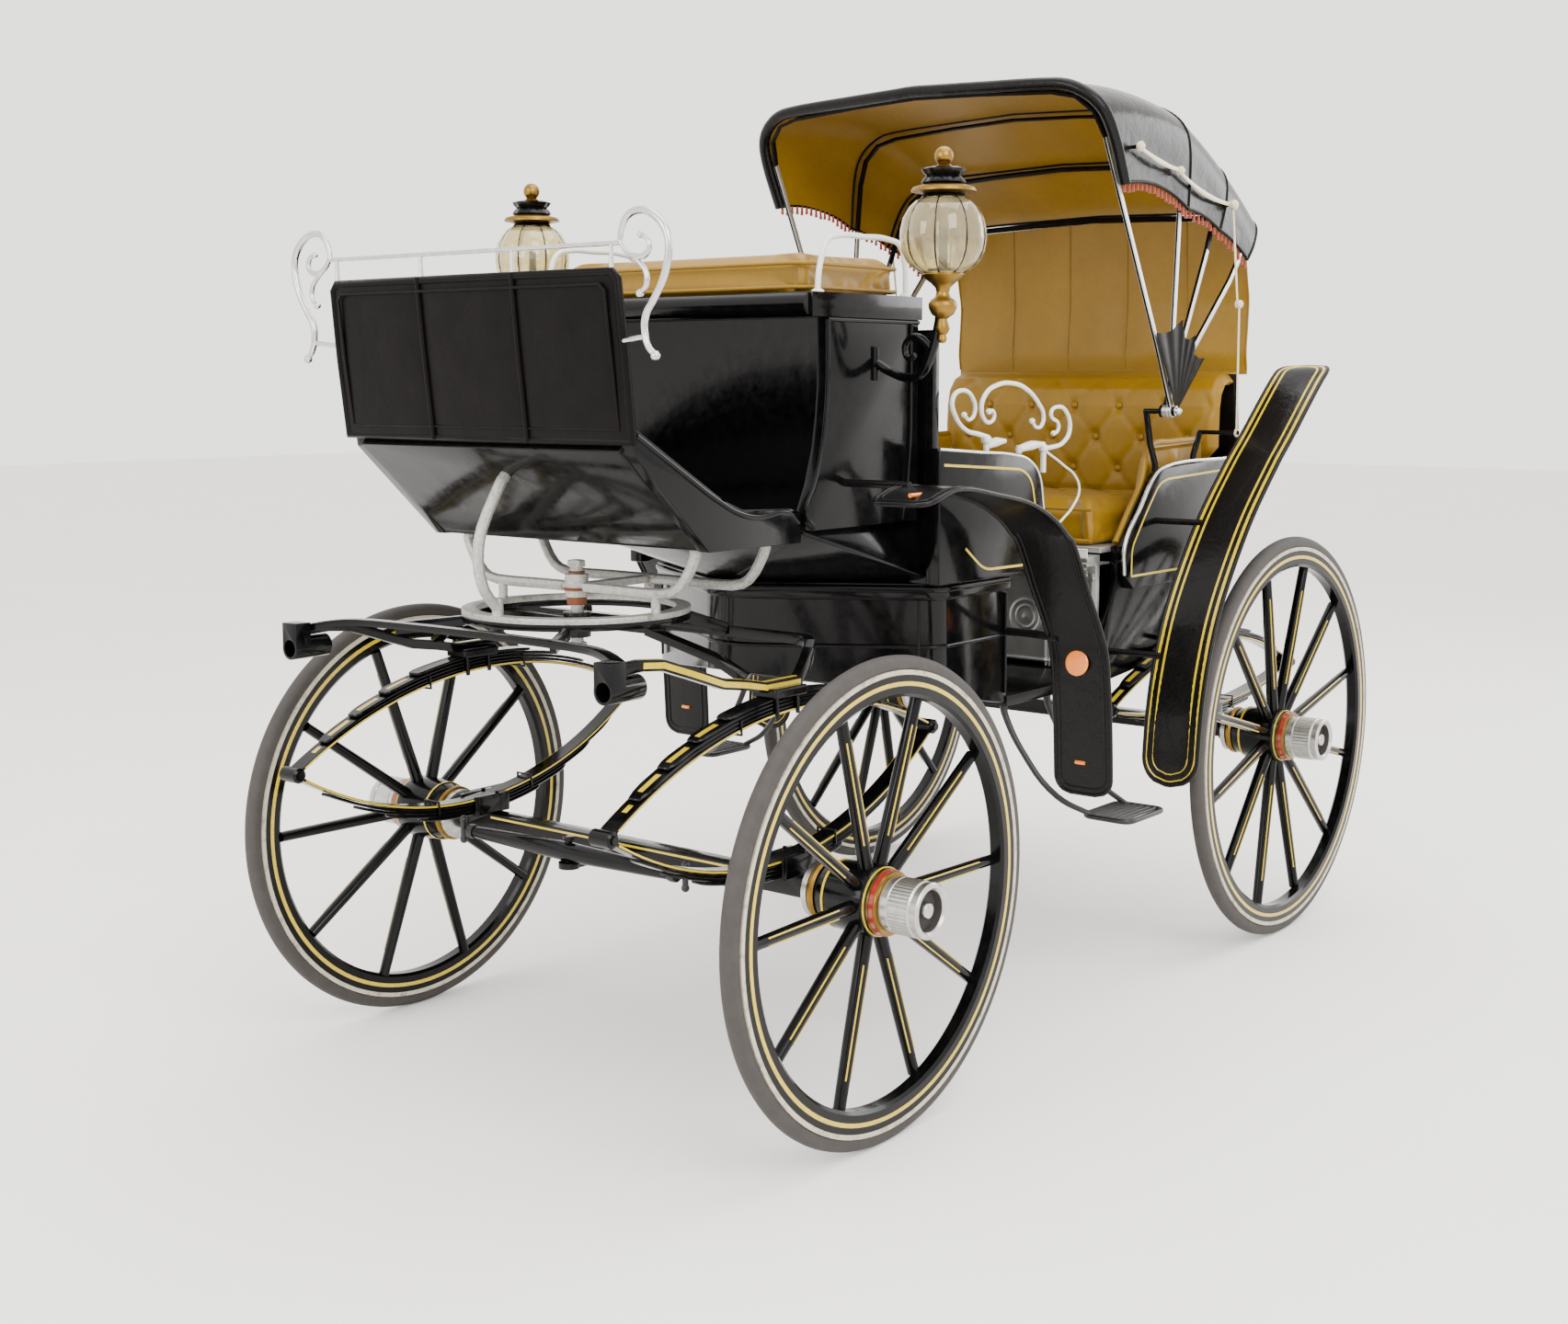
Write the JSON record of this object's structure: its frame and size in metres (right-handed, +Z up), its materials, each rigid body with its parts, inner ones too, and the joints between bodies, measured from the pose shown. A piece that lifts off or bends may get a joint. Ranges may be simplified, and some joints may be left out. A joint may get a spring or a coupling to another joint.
{
  "type": "horse drawn carriage",
  "caption": "Hooded horse drawn carriage with a driver's box, a passenger seat under a folding hood, a steering front gear on elliptic springs and spoked wheels.",
  "frame": {"origin": "on the floor under the middle of the carriage", "axes": "+X forward, +Y left, +Z up"},
  "size_m": [3.1065, 1.69, 2.367],
  "materials": {
    "gloss_black": "gloss black coach paint",
    "leather_black": "black leather, satin",
    "vinyl_yellow": "yellow vinyl, satin",
    "bright_metal": "satin aluminium",
    "white_iron": "worn silver paint",
    "brass": "aged brass",
    "lamp_glass": "clear ribbed glass",
    "wood_black": "black painted wood with yellow stripes",
    "rubber": "dull rubber",
    "iron_black": "black painted iron with yellow stripes",
    "board_white": "white board with maroon stripes",
    "cream_iron": "cream paint"
  },
  "bodies": {
    "carriage_body": {"boot": "gloss_black", "driver_box": "gloss_black", "footwell": "gloss_black", "dashboard": "leather_black", "dash_rail": "bright_metal", "driver_cushion": "vinyl_yellow", "seat_rails": "bright_metal", "lamps": "brass", "lamp_globes": "lamp_glass", "quarter_panels": "gloss_black", "scroll_irons": "white_iron", "passenger_tub": "gloss_black", "seat_box": "board_white", "side_panels": "gloss_black", "seat_back": "leather_black", "seat_cushion": "vinyl_yellow", "back_cushion": "vinyl_yellow", "wing_cushions": "vinyl_yellow", "front_fenders": "leather_black", "rear_fenders": "leather_black", "steps": "iron_black", "turntable_irons": "white_iron", "rear_axle": "iron_black", "rear_springs": "iron_black", "hood_brackets": "iron_black"},
    "front_gear": {"gear_frame": "iron_black", "shaft_sockets": "iron_black", "front_springs": "iron_black", "front_axle": "iron_black"},
    "singletree": {"singletree": "iron_black"},
    "wheel_front_left": {"wheel_front_left": "wood_black", "hub_front_left": "bright_metal", "tyre_front_left": "rubber"},
    "wheel_front_right": {"wheel_front_right": "wood_black", "hub_front_right": "bright_metal", "tyre_front_right": "rubber"},
    "wheel_rear_left": {"wheel_rear_left": "wood_black", "hub_rear_left": "bright_metal", "tyre_rear_left": "rubber"},
    "wheel_rear_right": {"wheel_rear_right": "wood_black", "hub_rear_right": "bright_metal", "tyre_rear_right": "rubber"},
    "bow_rear": {"bow_rear": "bright_metal", "hood_curtain": "vinyl_yellow"},
    "bow_third": {"bow_third": "bright_metal", "hood_rear": "leather_black"},
    "bow_second": {"bow_second": "bright_metal", "hood_middle": "leather_black"},
    "bow_front": {"bow_front": "leather_black", "hood_front": "leather_black"},
    "prop_lower": {"prop_lower": "cream_iron"},
    "prop_upper": {"prop_upper": "cream_iron"},
    "brace_rear": {"brace_rear": "cream_iron"},
    "brace_front": {"brace_front": "cream_iron"}
  },
  "joints": [
    {"name": "steering", "type": "hinge", "parent": "carriage_body", "child": "front_gear", "pos_m": [1.13, 0, 1.072], "axis": [0, 0, 1], "range_deg": [-18, 18]},
    {"name": "wheel_front_left_roll", "type": "hinge", "parent": "front_gear", "child": "wheel_front_left", "pos_m": [0.98, 0, 0.51], "axis": [0, 1, 0], "continuous": true},
    {"name": "wheel_front_right_roll", "type": "hinge", "parent": "front_gear", "child": "wheel_front_right", "pos_m": [0.98, 0, 0.51], "axis": [0, 1, 0], "continuous": true},
    {"name": "wheel_rear_left_roll", "type": "hinge", "parent": "carriage_body", "child": "wheel_rear_left", "pos_m": [-0.975, 0, 0.568], "axis": [0, 1, 0], "continuous": true},
    {"name": "wheel_rear_right_roll", "type": "hinge", "parent": "carriage_body", "child": "wheel_rear_right", "pos_m": [-0.975, 0, 0.568], "axis": [0, 1, 0], "continuous": true},
    {"name": "singletree_swing", "type": "hinge", "parent": "front_gear", "child": "singletree", "pos_m": [1.165, 0, 0.538], "axis": [0, 0, 1], "range_deg": [-15, 15]},
    {"name": "hood_fold", "type": "hinge", "parent": "carriage_body", "child": "bow_rear", "pos_m": [-0.587, 0, 1.491], "axis": [0, -1, 0], "range_deg": [0, 48], "deforming": ["hood_curtain"]},
    {"name": "third_bow_fold", "type": "hinge", "parent": "bow_rear", "child": "bow_third", "pos_m": [-0.587, 0, 1.491], "axis": [0, -1, 0], "range_deg": [0, 13], "deforming": ["hood_rear"]},
    {"name": "second_bow_fold", "type": "hinge", "parent": "bow_third", "child": "bow_second", "pos_m": [-0.587, 0, 1.491], "axis": [0, -1, 0], "range_deg": [0, 15], "deforming": ["hood_middle"]},
    {"name": "front_bow_fold", "type": "hinge", "parent": "bow_second", "child": "bow_front", "pos_m": [-0.587, 0, 1.491], "axis": [0, -1, 0], "range_deg": [0, 25.6], "deforming": ["hood_front"]},
    {"name": "prop_lower_fold", "type": "hinge", "parent": "carriage_body", "child": "prop_lower", "pos_m": [-0.904, 0, 1.427], "axis": [0, -1, 0], "range_deg": [0, 25.21]},
    {"name": "prop_upper_fold", "type": "hinge", "parent": "bow_third", "child": "prop_upper", "pos_m": [-0.856, 0, 2.055], "axis": [0, -1, 0], "range_deg": [0, 93.02]},
    {"name": "brace_rear_fold", "type": "hinge", "parent": "bow_third", "child": "brace_rear", "pos_m": [-0.856, 0, 2.055], "axis": [0, -1, 0], "range_deg": [0, 96.75]},
    {"name": "brace_front_fold", "type": "hinge", "parent": "bow_front", "child": "brace_front", "pos_m": [-0.312, 0, 2.162], "axis": [0, 1, 0], "range_deg": [0, 102.42]}
  ],
  "couplings": [
    {"joint": "third_bow_fold", "follows": "hood_fold", "ratio": 0.27083},
    {"joint": "second_bow_fold", "follows": "hood_fold", "ratio": 0.3125},
    {"joint": "front_bow_fold", "follows": "hood_fold", "ratio": 0.53333},
    {"joint": "prop_lower_fold", "follows": "hood_fold", "ratio": 0.52521},
    {"joint": "prop_upper_fold", "follows": "hood_fold", "ratio": 1.9379},
    {"joint": "brace_rear_fold", "follows": "hood_fold", "ratio": 2.0156},
    {"joint": "brace_front_fold", "follows": "hood_fold", "ratio": 2.1338}
  ]
}
